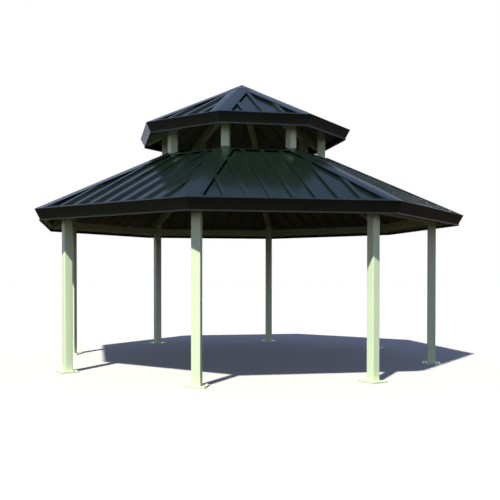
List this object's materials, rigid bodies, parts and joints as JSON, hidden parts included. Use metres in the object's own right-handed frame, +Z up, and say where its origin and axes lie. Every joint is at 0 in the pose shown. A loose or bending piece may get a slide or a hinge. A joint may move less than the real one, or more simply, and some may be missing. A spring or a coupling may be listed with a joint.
{
  "type": "park shelter",
  "caption": "Open eight-sided steel park shelter: square posts, ribbed hip roof and a raised, vented cupola roof.",
  "frame": {"origin": "on the ground at the centre of the ring of posts", "axes": "+Z up; -Y towards side 1, the front; +X to the right"},
  "size_m": [6.8394, 6.8394, 4.801],
  "materials": {
    "post_paint": "semi-gloss powder coat, pale sage cream",
    "frame_paint": "semi-gloss powder coat, pale sage cream",
    "roof_sheet": "satin coil coat, dark green",
    "fascia": "satin coil coat, near-black green",
    "cap_trim": "satin coil coat, dark green"
  },
  "bodies": {
    "root": {"post_1": "post_paint", "post_2": "post_paint", "post_3": "post_paint", "post_4": "post_paint", "post_5": "post_paint", "post_6": "post_paint", "post_7": "post_paint", "post_8": "post_paint", "tie_beam_1": "frame_paint", "tie_beam_2": "frame_paint", "tie_beam_3": "frame_paint", "tie_beam_4": "frame_paint", "tie_beam_5": "frame_paint", "tie_beam_6": "frame_paint", "tie_beam_7": "frame_paint", "tie_beam_8": "frame_paint", "hip_rafter_1": "frame_paint", "hip_rafter_2": "frame_paint", "hip_rafter_3": "frame_paint", "hip_rafter_4": "frame_paint", "hip_rafter_5": "frame_paint", "hip_rafter_6": "frame_paint", "hip_rafter_7": "frame_paint", "hip_rafter_8": "frame_paint", "roof_sheet_1": "roof_sheet", "roof_sheet_2": "roof_sheet", "roof_sheet_3": "roof_sheet", "roof_sheet_4": "roof_sheet", "roof_sheet_5": "roof_sheet", "roof_sheet_6": "roof_sheet", "roof_sheet_7": "roof_sheet", "roof_sheet_8": "roof_sheet", "ring_beams": "frame_paint", "purlins": "frame_paint", "fascia": "fascia", "top_flashing": "cap_trim", "hip_caps": "cap_trim", "cupola_posts": "post_paint", "cupola_rafters": "frame_paint", "peak_hub": "frame_paint", "cupola_sheets": "roof_sheet", "cupola_fascia": "fascia", "cupola_hip_caps": "cap_trim", "peak_cap": "cap_trim"}
  },
  "joints": []
}
